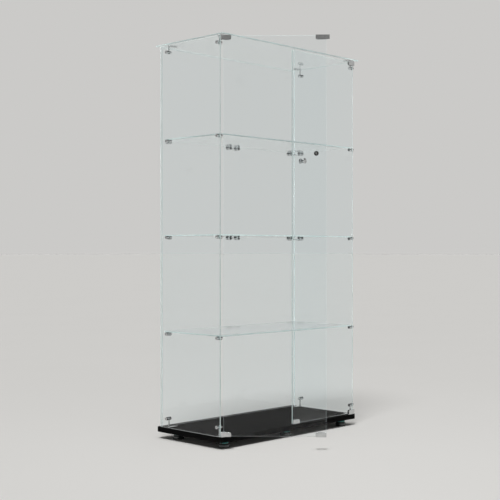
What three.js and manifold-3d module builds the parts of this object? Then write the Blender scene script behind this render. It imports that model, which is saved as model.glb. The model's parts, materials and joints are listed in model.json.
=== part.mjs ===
// Frameless glass display cabinet with two hinged glass doors, three glass shelves and a black base board.
//
// Units are millimetres. +X runs along the width, -Y is the front, +Z is up. The cabinet is drawn about
// the middle of its base board, and the whole is then moved so that the origin lies on the floor, under
// the middle front foot. The left door stands open, the right door is closed.
import * as THREE from "three";
import { mergeVertices } from "three/addons/utils/BufferGeometryUtils.js";
import Module from "manifold-3d";

const wasm = await Module();
wasm.setup();

// ---------- driving dimensions ----------

const WIDTH = 805;
const DEPTH = 365;
const FOOT_HEIGHT = 27;
const BOARD_THICKNESS = 21;
const INNER_HEIGHT = 1518;
const GLASS = 5;
const OPEN_ANGLE = THREE.MathUtils.degToRad(47);

// A piece that rests on its neighbour, or grips it, keeps this gap to it.
const GAP = 0.3;

// Solids that are joined into one piece, or cut from one, reach this far into or past each other.
const OVERLAP = 1;

const BOARD_EDGE = 0.8;
const BOARD_CORNER = 2;
const BOARD_TOP = FOOT_HEIGHT + BOARD_THICKNESS;
const CEILING = BOARD_TOP + INNER_HEIGHT;
const TOP_OVERHANG = { side: 6, front: 14, back: 3 };

// Glass walls, measured in from the edges of the base board.
const SIDE_INSET = 3;
const SIDE_FRONT_INSET = 10;
const SIDE_BACK_INSET = 14.5;
const BACK_RECESS = 3;
const BACK_JOINT = 2;

const SIDE_PLANE = WIDTH / 2 - SIDE_INSET - GLASS / 2;
const SIDE_FRONT = -DEPTH / 2 + SIDE_FRONT_INSET;
const SIDE_BACK = DEPTH / 2 - SIDE_BACK_INSET;
const BACK_PLANE = SIDE_BACK - BACK_RECESS - GLASS / 2;

// Doors hang in front of the side walls and turn about pins near the front corners.
const DOOR_FACE_INSET = 1;
const DOOR_PLANE = -DEPTH / 2 + DOOR_FACE_INSET + GLASS / 2;
const DOOR_CLEARANCE = 5;
const DOOR_MEETING_GAP = 3;
const PIVOT_X = WIDTH / 2 - 8.5;
const DOOR_HEEL = 6;
const DOOR_REACH = PIVOT_X - DOOR_MEETING_GAP / 2;

// Through-bolts that clamp the glass walls.
const BOLT_NECK = 4;
const BOLT_HOLE = BOLT_NECK + GAP;
const BOLT_CAP = 6.5;
const BOLT_CAP_LENGTH = 9;
const BOLT_PAD_LENGTH = 12;
const FRONT_BOLT_Y = -DEPTH / 2 + 19;
const BACK_BOLT_Y = DEPTH / 2 - 57.5;
const BASE_BRACKET_HEIGHT = 37;
const TOP_BRACKET_HEIGHT = 28;
const BRACKET_PLATE = { length: 43, width: 16, thickness: 3 };
const BRACKET_STEM = 2.5;
const STEM_CLEARANCE = 1;

// Round supports under the shelves, on through-bolts. The seat is the flat on a support's upper side.
const SUPPORT = { radius: 7.5, length: 12, seat: 4.7, first: 373, pitch: 382.5 };
const CORNER_BOLT_X = SIDE_PLANE - GLASS / 2 - 33;
const BACK_SUPPORT_X = 24;
const LINK = { width: 8, bottom: -5.5, top: -1.1 };
const SHELF_END_GAP = 5;
const SHELF_BACK_GAP = 4.6;
const SHELF_SETBACK = 2.5;

// Clamps on the door corners.
const CLAMP = { length: 40, height: 17, thickness: 11, web: 2.1, corner: 7 };
const CLAMP_LIFT = 2.6;
const HINGE_PLATE = { length: 43, heel: 5, front: -3, back: 6, thickness: 1.8 };
const PIN_RADIUS = 2.5;
const PIN_LENGTH = 8;
const PIN_BORE_DEPTH = 10;
const TONGUE_REACH = 12.5;
const TONGUE_GAP = 0.8;

// Lock and knob.
const HANDLE_HEIGHT = 1117;
const LOCK_FROM_EDGE = 37.5;
const KNOB_FROM_EDGE = 63;
const LOCK = { bezel: 8.8, bezelDepth: 3, barrel: 6.5, back: 6.5, nut: 8.6, nutDepth: 3 };
const PLUG = { radius: 3.6, tail: 2.5, tailLength: 2.5 };
const KEYWAY = { width: 1.4, length: 4.6, depth: 2 };
const KNOB = { cap: 11, start: 10.3, rim: 12, end: 15.3, stem: 5, flange: 7, flangeDepth: 1.5 };
const STUD = { radius: 3, length: 12 };

// Feet.
const FOOT = { radius: 22, bevel: 2, rim: 13, shoulder: 19, waist: 18 };
const FOOT_INSET = { end: 52, front: 38, back: 66 };

const CAP_SIDES = 16;
const NECK_SIDES = 12;
const ROUND_SIDES = 24;

// ---------- materials ----------

const glass = new THREE.MeshStandardMaterial({
  color: 0xc3d8d4,
  roughness: 0.05,
  metalness: 0,
  transparent: true,
  opacity: 0.35,
});
const chrome = new THREE.MeshStandardMaterial({ color: 0xd4d6d6, roughness: 0.12, metalness: 1 });
const blackBoard = new THREE.MeshStandardMaterial({ color: 0x141415, roughness: 0.25, metalness: 0 });
const blackPlastic = new THREE.MeshStandardMaterial({ color: 0x0c0f0f, roughness: 0.4, metalness: 0 });

// ---------- solids ----------

function solidOf(geometry) {
  const bare = geometry.clone();
  bare.deleteAttribute("normal");
  bare.deleteAttribute("uv");
  const merged = mergeVertices(bare, 1e-4);
  return new wasm.Manifold(
    new wasm.Mesh({
      numProp: 3,
      vertProperties: new Float32Array(merged.attributes.position.array),
      triVerts: new Uint32Array(merged.index.array),
    }),
  );
}

function geometryOf(solid) {
  const mesh = solid.getMesh();
  const geometry = new THREE.BufferGeometry();
  geometry.setAttribute("position", new THREE.BufferAttribute(mesh.vertProperties, 3));
  geometry.setIndex(new THREE.BufferAttribute(mesh.triVerts, 1));
  geometry.computeVertexNormals();
  return geometry;
}

const join = (...solids) => solids.reduce((whole, solid) => whole.add(solid));
const cut = (solid, ...tools) => tools.reduce((rest, tool) => rest.subtract(tool), solid);

// A box from two opposite corners, given in any order.
function box([x0, y0, z0], [x1, y1, z1]) {
  const geometry = new THREE.BoxGeometry(Math.abs(x1 - x0), Math.abs(y1 - y0), Math.abs(z1 - z0));
  geometry.translate((x0 + x1) / 2, (y0 + y1) / 2, (z0 + z1) / 2);
  return solidOf(geometry);
}

// A round bar along the axis "x", "y" or "z", from one place on the axis to another.
function rod(axis, radius, from, to, centre = [0, 0, 0], sides = ROUND_SIDES) {
  const geometry = new THREE.CylinderGeometry(radius, radius, Math.abs(to - from), sides);
  if (axis === "x") geometry.rotateZ(-Math.PI / 2);
  if (axis === "z") geometry.rotateX(Math.PI / 2);
  const middle = new THREE.Vector3(...centre);
  middle[axis] += (from + to) / 2;
  geometry.translate(middle.x, middle.y, middle.z);
  return solidOf(geometry);
}

// A turned piece about Z. The profile lists [radius, height] from the axis and back to it.
function turned(profile, sides = ROUND_SIDES) {
  const points = profile.map(([radius, height]) => new THREE.Vector2(radius, height));
  const geometry = new THREE.LatheGeometry(points, sides);
  geometry.rotateX(Math.PI / 2);
  return geometry;
}

// A flat outline in X and Z, drawn through the thickness from y0 to y1.
function plateAlongY(shape, y0, y1) {
  const geometry = new THREE.ExtrudeGeometry(shape, {
    depth: y1 - y0,
    bevelEnabled: false,
    curveSegments: 6,
  });
  geometry.rotateX(Math.PI / 2);
  geometry.translate(0, y1, 0);
  return solidOf(geometry);
}

const model = new THREE.Group();
model.name = "display_cabinet";
model.position.y = DEPTH / 2 - FOOT_INSET.front;

function place(parent, name, solid, material, position = [0, 0, 0]) {
  const mesh = new THREE.Mesh(solid.isBufferGeometry ? solid : geometryOf(solid), material);
  mesh.name = name;
  mesh.position.set(...position);
  parent.add(mesh);
}

// ---------- base board and feet ----------

function roundedRectangle(width, depth, radius) {
  const x = width / 2;
  const y = depth / 2;
  const shape = new THREE.Shape();
  shape.moveTo(-x + radius, -y);
  shape.lineTo(x - radius, -y);
  shape.absarc(x - radius, -y + radius, radius, -Math.PI / 2, 0, false);
  shape.lineTo(x, y - radius);
  shape.absarc(x - radius, y - radius, radius, 0, Math.PI / 2, false);
  shape.lineTo(-x + radius, y);
  shape.absarc(-x + radius, y - radius, radius, Math.PI / 2, Math.PI, false);
  shape.lineTo(-x, -y + radius);
  shape.absarc(-x + radius, -y + radius, radius, Math.PI, Math.PI * 1.5, false);
  return shape;
}

function addBase() {
  const edge = BOARD_EDGE;
  const outline = roundedRectangle(WIDTH - 2 * edge, DEPTH - 2 * edge, BOARD_CORNER);
  const geometry = new THREE.ExtrudeGeometry(outline, {
    depth: BOARD_THICKNESS - 2 * edge,
    bevelThickness: edge,
    bevelSize: edge,
    bevelSegments: 1,
    curveSegments: 3,
  });
  place(model, "base_board", solidOf(geometry), blackBoard, [0, 0, FOOT_HEIGHT + edge]);

  const top = FOOT_HEIGHT - GAP;
  const profile = [
    [0, 0],
    [FOOT.radius - FOOT.bevel, 0],
    [FOOT.radius, FOOT.bevel],
    [FOOT.radius, FOOT.rim],
    [FOOT.waist, FOOT.shoulder],
    [FOOT.waist, top],
    [0, top],
  ];
  const columns = { left: -(WIDTH / 2 - FOOT_INSET.end), middle: 0, right: WIDTH / 2 - FOOT_INSET.end };
  const rows = { front: -(DEPTH / 2 - FOOT_INSET.front), back: DEPTH / 2 - FOOT_INSET.back };
  for (const [row, y] of Object.entries(rows)) {
    for (const [column, x] of Object.entries(columns)) {
      place(model, `foot_${row}_${column}`, turned(profile), blackPlastic, [x, y, 0]);
    }
  }
}

// ---------- glass ----------

const shelfNames = ["lower", "middle", "upper"];
const supportLevels = shelfNames.map((_, i) => BOARD_TOP + SUPPORT.first + i * SUPPORT.pitch);
const shelfLevels = supportLevels.map((z) => z + SUPPORT.seat + GAP + GLASS / 2);

const sides = { left: -1, right: 1 };
const wallBottom = BOARD_TOP + GAP;
const wallTop = CEILING - GAP;

function addWalls() {
  const topEnd = WIDTH / 2 + TOP_OVERHANG.side;
  const topFront = -DEPTH / 2 - TOP_OVERHANG.front;
  const topBack = DEPTH / 2 + TOP_OVERHANG.back;
  const slab = box([-topEnd, topFront, CEILING], [topEnd, topBack, CEILING + GLASS]);
  place(model, "top_panel", slab, glass);

  const bracketLevels = [BOARD_TOP + BASE_BRACKET_HEIGHT, CEILING - TOP_BRACKET_HEIGHT];
  for (const [name, side] of Object.entries(sides)) {
    const x = side * SIDE_PLANE;
    let wall = box([x - GLASS / 2, SIDE_FRONT, wallBottom], [x + GLASS / 2, SIDE_BACK, wallTop]);
    for (const y of [FRONT_BOLT_Y, BACK_BOLT_Y]) {
      for (const z of [...bracketLevels, ...supportLevels]) {
        wall = cut(wall, rod("x", BOLT_HOLE, x - GLASS, x + GLASS, [0, y, z], NECK_SIDES));
      }
    }
    place(model, `side_panel_${name}`, wall, glass);

    const outer = side * (SIDE_PLANE - GLASS / 2 - GAP);
    const inner = (side * BACK_JOINT) / 2;
    const front = BACK_PLANE - GLASS / 2;
    let back = box([inner, front, wallBottom], [outer, front + GLASS, wallTop]);
    for (const boltX of [CORNER_BOLT_X, BACK_SUPPORT_X]) {
      for (const z of supportLevels) {
        const centre = [side * boltX, 0, z];
        back = cut(back, rod("y", BOLT_HOLE, front - GLASS, front + 2 * GLASS, centre, NECK_SIDES));
      }
    }
    place(model, `back_panel_${name}`, back, glass);
  }
}

const SHELF_HALF_WIDTH = SIDE_PLANE - GLASS / 2 - SHELF_END_GAP;
const SHELF_FRONT = SIDE_FRONT + SHELF_SETBACK;
const SHELF_BACK = BACK_PLANE - GLASS / 2 - SHELF_BACK_GAP;

function addShelves() {
  shelfNames.forEach((name, i) => {
    const z = shelfLevels[i];
    const near = [-SHELF_HALF_WIDTH, SHELF_FRONT, z - GLASS / 2];
    const far = [SHELF_HALF_WIDTH, SHELF_BACK, z + GLASS / 2];
    place(model, `shelf_${name}`, box(near, far), glass);
  });
}

// ---------- hardware on the glass walls ----------

// A bolt through a glass wall, with its origin in the middle of the glass, and the cap on its outer end.
// "out" is +1 or -1: the way along the axis that leaves the cabinet.
function cappedBolt(axis, out, centre = [0, 0, 0]) {
  const face = GLASS / 2 + GAP;
  return join(
    rod(axis, BOLT_NECK, -face - OVERLAP, face + OVERLAP, centre, NECK_SIDES),
    rod(axis, BOLT_CAP, out * face, out * (face + BOLT_CAP_LENGTH), centre, CAP_SIDES),
  );
}

// A bracket that ties a side wall to the board ("up" is +1) or to the top panel ("up" is -1): a plate
// that lies on the panel, a stem, and at the stem's end a bolt with a pad inside the wall.
function cornerBracket(side, up, height) {
  const inside = -side * (GLASS / 2 + GAP);
  const { length, width, thickness } = BRACKET_PLATE;
  const plate = box(
    [inside, -width / 2, up * GAP],
    [inside - side * length, width / 2, up * (GAP + thickness)],
  );
  const stemX = inside - side * (BRACKET_STEM + STEM_CLEARANCE);
  const stemFrom = up * (GAP + thickness / 2);
  const stem = rod("z", BRACKET_STEM, stemFrom, up * height, [stemX, 0, 0], NECK_SIDES);
  const centre = [0, 0, up * height];
  const pad = rod("x", BOLT_CAP, inside, inside - side * BOLT_PAD_LENGTH, centre, CAP_SIDES);
  return join(plate, stem, cappedBolt("x", side, centre), pad);
}

// A round support on the inner end of a bolt, with a flat on top for the shelf.
function shelfSupport(axis, out, centre = [0, 0, 0]) {
  const { radius, length, seat } = SUPPORT;
  const near = GLASS / 2 + GAP;
  const far = near + length;
  const drum = rod(axis, radius, -out * near, -out * far, centre, CAP_SIDES);
  const [x, y, z] = centre;
  const wide = far + OVERLAP;
  const above = box([x - wide, y - wide, z + seat], [x + wide, y + wide, z + radius + OVERLAP]);
  return join(cappedBolt(axis, out, centre), cut(drum, above));
}

// A flat link from one support to another.
function link(from, to) {
  const [a, b] = [new THREE.Vector2(...from), new THREE.Vector2(...to)];
  const { width, bottom, top } = LINK;
  const geometry = new THREE.BoxGeometry(a.distanceTo(b), width, top - bottom);
  geometry.rotateZ(b.clone().sub(a).angle());
  geometry.translate((a.x + b.x) / 2, (a.y + b.y) / 2, (top + bottom) / 2);
  return solidOf(geometry);
}

function addWallHardware() {
  for (const [name, side] of Object.entries(sides)) {
    const x = side * SIDE_PLANE;
    for (const [end, y] of Object.entries({ front: FRONT_BOLT_Y, back: BACK_BOLT_Y })) {
      const base = cornerBracket(side, 1, BASE_BRACKET_HEIGHT);
      const top = cornerBracket(side, -1, TOP_BRACKET_HEIGHT);
      place(model, `base_bracket_${end}_${name}`, base, chrome, [x, y, BOARD_TOP]);
      place(model, `top_bracket_${end}_${name}`, top, chrome, [x, y, CEILING]);
    }

    // Between the two supports of a corner connector, from the middle of the side wall.
    const toBack = [side * (CORNER_BOLT_X - SIDE_PLANE), BACK_PLANE - BACK_BOLT_Y, 0];
    const reach = GLASS / 2 + GAP + SUPPORT.length / 2;
    const sideSupport = shelfSupport("x", side);
    const bar = link([-side * reach, 0], [toBack[0], toBack[1] - reach]);
    const connector = join(sideSupport, shelfSupport("y", 1, toBack), bar);
    shelfNames.forEach((shelf, i) => {
      const z = supportLevels[i];
      const backSpot = [side * BACK_SUPPORT_X, BACK_PLANE, z];
      place(model, `${shelf}_shelf_front_support_${name}`, sideSupport, chrome, [x, FRONT_BOLT_Y, z]);
      place(model, `${shelf}_shelf_corner_support_${name}`, connector, chrome, [x, BACK_BOLT_Y, z]);
      place(model, `${shelf}_shelf_back_support_${name}`, shelfSupport("y", 1), chrome, backSpot);
    });
  }
}

// ---------- doors ----------
//
// A door is drawn in its own frame: the pivot is the origin, "hand" is +1 when the door runs along +X
// from its pivot and -1 when it runs along -X, and its glass is centred on y = 0. Heights are the
// cabinet's own.

const doorBottom = BOARD_TOP + DOOR_CLEARANCE;
const doorTop = CEILING - DOOR_CLEARANCE;
const doorSlot = GLASS / 2 + GAP;

// The side view of a corner clamp: a plate with its corner inside the pane rounded off. "up" is +1 on
// the bottom edge of the door and -1 on the top edge.
function clampOutline(from, to, up, hand) {
  const { height, corner } = CLAMP;
  const x = (u) => hand * u;
  const shape = new THREE.Shape();
  shape.moveTo(x(from), 0);
  shape.lineTo(x(to), 0);
  shape.lineTo(x(to), up * (height - corner));
  shape.quadraticCurveTo(x(to), up * height, x(to - corner), up * height);
  shape.lineTo(x(from), up * height);
  shape.closePath();
  return shape;
}

function gripSlot(from, to, up, hand) {
  const tip = CLAMP.height + OVERLAP;
  return box([hand * from, -doorSlot, up * CLAMP.web], [hand * to, doorSlot, up * tip]);
}

// A hinge clamp: rounded about the pin, with a bore for it.
function hingeClamp(hand, up) {
  const half = CLAMP.thickness / 2;
  const end = CLAMP.length - half;
  const body = join(
    plateAlongY(clampOutline(0, end, up, hand), -half, half),
    rod("z", half, 0, up * CLAMP.height),
  );
  const bore = rod("z", PIN_RADIUS + GAP, -up * OVERLAP, up * PIN_BORE_DEPTH, [0, 0, 0], CAP_SIDES);
  return cut(body, gripSlot(DOOR_HEEL - GAP, end + OVERLAP, up, hand), bore);
}

// A catch clamp on the free corner. Its outer face may carry a tongue that laps over the other door.
function catchClamp(hand, up, tongue) {
  const half = CLAMP.thickness / 2;
  const near = DOOR_REACH;
  const far = near - CLAMP.length;
  const { height, corner } = CLAMP;
  const x = (u) => hand * u;
  const shape = new THREE.Shape();
  shape.moveTo(x(near), 0);
  shape.lineTo(x(near), up * height);
  shape.lineTo(x(far + corner), up * height);
  shape.quadraticCurveTo(x(far), up * height, x(far), up * (height - corner));
  shape.lineTo(x(far), 0);
  shape.closePath();
  let body = plateAlongY(shape, -half, half);
  if (tongue) {
    const back = -GLASS / 2 - TONGUE_GAP;
    const lap = box([x(near - OVERLAP), -half, 0], [x(near + TONGUE_REACH), back, up * height]);
    body = join(body, lap);
  }
  return cut(body, gripSlot(far - OVERLAP, near + TONGUE_REACH + OVERLAP, up, hand));
}

// The plate on the board or the top panel that carries the pin.
function hingePlate(hand, up) {
  const { length, heel, front, back, thickness } = HINGE_PLATE;
  const plate = box([-hand * heel, front, up * GAP], [hand * (length - heel), back, up * (GAP + thickness)]);
  const [pinFrom, pinTo] = [up * (GAP + thickness / 2), up * (CLAMP_LIFT + PIN_LENGTH)];
  return join(plate, rod("z", PIN_RADIUS, pinFrom, pinTo, [0, 0, 0], CAP_SIDES));
}

// Half of a knob: a flange on the glass, a stem and a domed cap. One half carries the stud that passes
// through the glass, and the other half has the bore for it.
function knobHalf(withStud) {
  const { cap, start, rim, end, stem, flange, flangeDepth } = KNOB;
  const face = GLASS / 2 + GAP;
  const dome = [0, 30, 60].map((degrees) => {
    const angle = THREE.MathUtils.degToRad(degrees);
    return [cap * Math.cos(angle), rim + (end - rim) * Math.sin(angle)];
  });
  const profile = [
    [0, face],
    [flange, face],
    [flange, face + flangeDepth],
    [stem, face + flangeDepth],
    [stem, start],
    [cap - OVERLAP, start],
    ...dome,
    [0, end],
  ];
  const body = solidOf(turned(profile));
  if (withStud) {
    return join(body, rod("z", STUD.radius, -STUD.length, face + OVERLAP, [0, 0, 0], NECK_SIDES));
  }
  const bore = [face - OVERLAP, STUD.length + GAP];
  return cut(body, rod("z", STUD.radius + GAP, ...bore, [0, 0, 0], NECK_SIDES));
}

// Turns a piece drawn along Z so that its +Z points out of the door's front (-Y) or back (+Y).
function facing(solid, front) {
  const geometry = geometryOf(solid);
  geometry.rotateX(front ? Math.PI / 2 : -Math.PI / 2);
  return geometry;
}

// The lock's ring, barrel and nut, in one piece, with the bore for the plug.
function lockBody() {
  const { bezel, bezelDepth, barrel, back, nut, nutDepth } = LOCK;
  const face = GLASS / 2 + GAP;
  const body = join(
    rod("z", bezel, face, face + bezelDepth),
    rod("z", barrel, -back, face + OVERLAP),
    rod("z", nut, -face - nutDepth, -face, [0, 0, 0], 6),
  );
  return cut(body, rod("z", PLUG.radius + GAP, -back - OVERLAP, face + bezelDepth + OVERLAP));
}

// The plug that the key turns, with the keyway in front and a short tail behind.
function lockPlug() {
  const front = GLASS / 2 + LOCK.bezelDepth;
  const back = -LOCK.back;
  const body = join(
    rod("z", PLUG.radius, back, front),
    rod("z", PLUG.tail, back - PLUG.tailLength, back + OVERLAP, [0, 0, 0], CAP_SIDES),
  );
  const half = [KEYWAY.width / 2, KEYWAY.length / 2];
  return cut(body, box([-half[0], -half[1], front - KEYWAY.depth], [...half, front + OVERLAP]));
}

function addDoor(name, hand, angle) {
  const door = new THREE.Group();
  door.position.set(-hand * PIVOT_X, DOOR_PLANE, 0);
  door.rotation.z = angle;
  model.add(door);

  const isLeft = name === "left";
  const handleX = hand * (DOOR_REACH - (isLeft ? LOCK_FROM_EDGE : KNOB_FROM_EDGE));
  const holeRadius = (isLeft ? LOCK.barrel : STUD.radius) + GAP;
  const pane = cut(
    box([hand * DOOR_HEEL, -GLASS / 2, doorBottom], [hand * DOOR_REACH, GLASS / 2, doorTop]),
    rod("y", holeRadius, -GLASS, GLASS, [handleX, 0, HANDLE_HEIGHT]),
  );
  place(door, `${name}_door_glass`, pane, glass);

  const levels = { bottom: [BOARD_TOP, 1], top: [CEILING, -1] };
  for (const [level, [z, up]] of Object.entries(levels)) {
    const lifted = z + up * CLAMP_LIFT;
    place(door, `${name}_door_hinge_${level}`, hingeClamp(hand, up), chrome, [0, 0, lifted]);

    // The right door has no clamp at the top, where the left door's tongue laps over it.
    if (isLeft || level === "bottom") {
      const clamp = catchClamp(hand, up, level === "top");
      place(door, `${name}_door_catch_${level}`, clamp, chrome, [0, 0, lifted]);
    }

    const plate = hingePlate(hand, up);
    place(model, `${name}_hinge_plate_${level}`, plate, chrome, [-hand * PIVOT_X, DOOR_PLANE, z]);
  }

  const handle = [handleX, 0, HANDLE_HEIGHT];
  if (isLeft) {
    place(door, "lock_body", facing(lockBody(), true), blackPlastic, handle);
    place(door, "lock_plug", facing(lockPlug(), true), chrome, handle);
  } else {
    place(door, "knob_outer", facing(knobHalf(true), true), chrome, handle);
    place(door, "knob_inner", facing(knobHalf(false), false), chrome, handle);
  }
}

addBase();
addWalls();
addShelves();
addWallHardware();
addDoor("left", 1, -OPEN_ANGLE);
addDoor("right", -1, 0);

export default model;
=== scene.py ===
import json
import math

import bmesh
import bpy
from mathutils import Matrix, Vector


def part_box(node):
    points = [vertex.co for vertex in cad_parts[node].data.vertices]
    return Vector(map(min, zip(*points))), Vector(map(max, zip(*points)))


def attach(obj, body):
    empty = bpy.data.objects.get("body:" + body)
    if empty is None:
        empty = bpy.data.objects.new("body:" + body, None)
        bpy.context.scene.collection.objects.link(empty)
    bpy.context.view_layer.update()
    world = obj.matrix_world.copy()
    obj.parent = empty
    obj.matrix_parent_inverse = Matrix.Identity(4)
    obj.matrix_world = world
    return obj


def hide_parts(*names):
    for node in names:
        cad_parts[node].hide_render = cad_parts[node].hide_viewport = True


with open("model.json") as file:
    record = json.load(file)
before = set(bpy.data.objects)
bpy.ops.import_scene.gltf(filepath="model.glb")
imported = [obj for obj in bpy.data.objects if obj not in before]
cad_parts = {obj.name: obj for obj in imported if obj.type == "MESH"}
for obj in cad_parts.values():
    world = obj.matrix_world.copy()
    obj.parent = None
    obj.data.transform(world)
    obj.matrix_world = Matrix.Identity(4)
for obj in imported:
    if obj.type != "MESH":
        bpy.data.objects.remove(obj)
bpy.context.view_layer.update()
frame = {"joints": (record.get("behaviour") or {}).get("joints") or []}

# Fittings are drawn in millimetres about their own origin, and set in place in metres.
MM = 0.001

# ---------- sizes of the fittings, in millimetres ----------
#
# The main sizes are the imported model's. The screws, sockets, grooves and seams are only here.

GLASS = 5.0
GAP = 0.3
FACE = GLASS / 2 + GAP

BOLT_NECK = 4.0
BOLT_CAP = 6.5
CAP_LENGTH = 9.0
PAD_LENGTH = 12.0
PLATE = {"length": 43.0, "width": 16.0, "thickness": 3.0}
STEM_RADIUS = 2.5
STEM_X = -(FACE + STEM_RADIUS + 1.0)
STEM_COLLAR = [(0, 2), (4.4, 2), (4.4, 4.2), (3.0, 6.5), (0, 6.5)]
PLATE_SCREWS = {"places": (0.42, 0.82), "radius": 3.5, "well": 3.8, "well_depth": 1.6}
CAP_SOCKET = {"well": 3.4, "ring": 3.3, "hexagon": 1.9}
PAD_COLLAR = 3.0
PAD_GROOVE = 0.4

SUPPORT = {"radius": 7.5, "length": 12.0, "seat": 4.7}
LINK = {"width": 8.0, "bottom": -5.5, "top": -1.1}

CLAMP = {"length": 40.0, "height": 17.0, "half": 5.5, "web": 2.1, "corner": 7.0}
CLAMP_LIFT = 2.6
DOOR_HEEL = 6.0
PIN_RADIUS = 2.5
PIN_LENGTH = 8.0
PIN_BORE_DEPTH = 10.0
TONGUE_REACH = 12.5
TONGUE_GAP = 0.8
HINGE_PLATE = {"from": -5.0, "to": 38.0, "front": -3.0, "back": 6.0, "thickness": 1.8, "screws": (12, 31)}
SMALL_SCREW = 2.4
SMALL_WELL = 2.6
HINGE_CLAMP_SCREWS = (21.0, 7.0)
CATCH_CLAMP_SCREWS = (10.0, 26.0)

LOCK_FROM_EDGE = 37.5
KNOB_FROM_EDGE = 63.0
LOCK = {"bezel": 8.8, "depth": 3.0, "barrel": 6.5, "back": 6.5, "nut": 8.6, "nut_depth": 3.0}
PLUG = {"radius": 3.6, "tail": 2.5, "tail_length": 2.5}
KNOB = {"cap": 11.0, "start": 10.3, "rim": 12.0, "end": 15.3, "stem": 5.0, "flange": 7.0, "flange_depth": 1.5}
KNOB_FLARE = 1.2
STUD_RADIUS = 3.0
STUD_LENGTH = 12.0
KEYWAY = {"half_width": 0.7, "half_length": 2.3, "depth": 2.0}

BOARD_SHEET = 0.8
BOARD_SEAM = 0.12
BOARD_CORNER = 2.0
FOOT_RADIUS = 22.0
FOOT_WAIST = 18.0

# Places read from the frame, in metres.


def centre(node):
    low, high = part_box(node)
    return (low + high) / 2


BOARD_LOW, BOARD_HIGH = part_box("base_board")
BOARD_TOP = BOARD_HIGH.z
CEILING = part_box("top_panel")[0].z
BACK_Y = centre("back_panel_left").y
BOLT_Y = {row: centre(f"base_bracket_{row}_left").y for row in ("front", "back")}
SIDES = {"left": -1, "right": 1}
LEVELS = ("lower", "middle", "upper")
JOINTS = {joint["name"]: joint for joint in frame["joints"]}


def bracket_height(end):
    """From the panel that a bracket stands on to its bolt, in millimetres."""
    low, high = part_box(f"{end}_bracket_front_left")
    return (high.z - low.z) / MM + GAP - BOLT_CAP


def support_level(shelf):
    """The height of the bolts under a shelf, in metres."""
    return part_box(f"{shelf}_shelf_back_support_left")[0].z + SUPPORT["radius"] * MM


def corner_support_x():
    """The back wall's bolt in the right corner connector, in metres."""
    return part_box("lower_shelf_corner_support_right")[0].x + SUPPORT["radius"] * MM


# ---------- materials ----------


class Shader:
    """A material's node tree, with short ways to add nodes."""

    def __init__(self, name):
        self.material = bpy.data.materials.new(name)
        self.material.use_nodes = True
        self.tree = self.material.node_tree
        self.surface = self.tree.nodes["Principled BSDF"]

    def node(self, kind, **values):
        made = self.tree.nodes.new(kind)
        for key, value in values.items():
            setattr(made, key, value)
        return made

    def link(self, source, target):
        self.tree.links.new(source, target)

    def set(self, **values):
        for key, value in values.items():
            self.surface.inputs[key.replace("_", " ")].default_value = value

    def coordinates(self, scale=(1, 1, 1)):
        place = self.node("ShaderNodeTexCoord")
        mapping = self.node("ShaderNodeMapping")
        mapping.inputs["Scale"].default_value = scale
        self.link(place.outputs["Object"], mapping.inputs["Vector"])
        return mapping.outputs["Vector"]

    def noise(self, size, detail=4.0, stretch=(1, 1, 1)):
        """Noise whose features measure about size metres."""
        noise = self.node("ShaderNodeTexNoise")
        noise.inputs["Scale"].default_value = 1 / size
        noise.inputs["Detail"].default_value = detail
        self.link(self.coordinates(stretch), noise.inputs["Vector"])
        return noise.outputs["Fac"]

    def ramp(self, source, stops):
        """Colours along source: stops are (place, colour)."""
        ramp = self.node("ShaderNodeValToRGB")
        elements = ramp.color_ramp.elements
        while len(elements) < len(stops):
            elements.new(0.5)
        for element, (place, colour) in zip(elements, stops):
            element.position = place
            element.color = (*colour, 1) if len(colour) == 3 else colour
        self.link(source, ramp.inputs["Fac"])
        return ramp.outputs["Color"]

    def spread(self, source, low, high):
        """Source's middle range mapped to low to high."""
        spread = self.node("ShaderNodeMapRange")
        spread.inputs["From Min"].default_value = 0.3
        spread.inputs["From Max"].default_value = 0.7
        spread.inputs["To Min"].default_value = low
        spread.inputs["To Max"].default_value = high
        self.link(source, spread.inputs["Value"])
        return spread.outputs["Result"]

    def bump(self, source, height, strength=1.0):
        bump = self.node("ShaderNodeBump")
        bump.inputs["Distance"].default_value = height
        bump.inputs["Strength"].default_value = strength
        self.link(source, bump.inputs["Height"])
        self.link(bump.outputs["Normal"], self.surface.inputs["Normal"])

    def colour_from(self, source):
        self.link(source, self.surface.inputs["Base Color"])

    def roughness_from(self, source):
        self.link(source, self.surface.inputs["Roughness"])


def grey(value):
    return (value, value, value)


def make_pane_glass():
    """Clear float glass with a faint green tint and a trace of wiping marks."""
    shader = Shader("pane_glass")
    shader.set(Transmission_Weight=1.0, IOR=1.25, Roughness=0.0)
    tint = shader.ramp(shader.noise(0.5, 1.0), [(0.3, (0.966, 0.993, 0.999)), (0.7, (0.971, 0.995, 1.0))])
    shader.colour_from(tint)
    shader.roughness_from(shader.spread(shader.noise(0.09, 3.0, (1, 1, 0.4)), 0.0, 0.012))
    return shader.material


def make_joint_bead():
    """The clear bead between the back panels. It bends light no more than the glass beside it does."""
    shader = Shader("joint_bead")
    shader.set(Transmission_Weight=1.0, IOR=1.0, Roughness=0.0)
    shader.colour_from(shader.ramp(shader.noise(0.5, 1.0), [(0.3, (0.985, 0.995, 1.0)), (0.7, grey(1.0))]))
    return shader.material


def make_painted_glow_edge():
    """The ground edge, pale and milky with streaks along it. The pale colour and a faint glow are painted
    light: they stand in for the light that enters the pane and leaves at its edge.
    """
    shader = Shader("painted_glow_edge")
    # painted glow: a faint emission, though the edge is no lamp
    shader.set(Transmission_Weight=0.45, IOR=1.3, Emission_Strength=0.15)
    streaks = shader.noise(0.02, 3.0, (1, 1, 0.2))
    tint = shader.ramp(streaks, [(0.35, (0.74, 0.90, 0.89)), (0.65, (0.88, 0.98, 0.97))])
    shader.colour_from(tint)
    # the painted glow takes the edge's pale tint
    shader.link(tint, shader.surface.inputs["Emission Color"])
    shader.roughness_from(shader.spread(shader.noise(0.004), 0.15, 0.3))
    return shader.material


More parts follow.
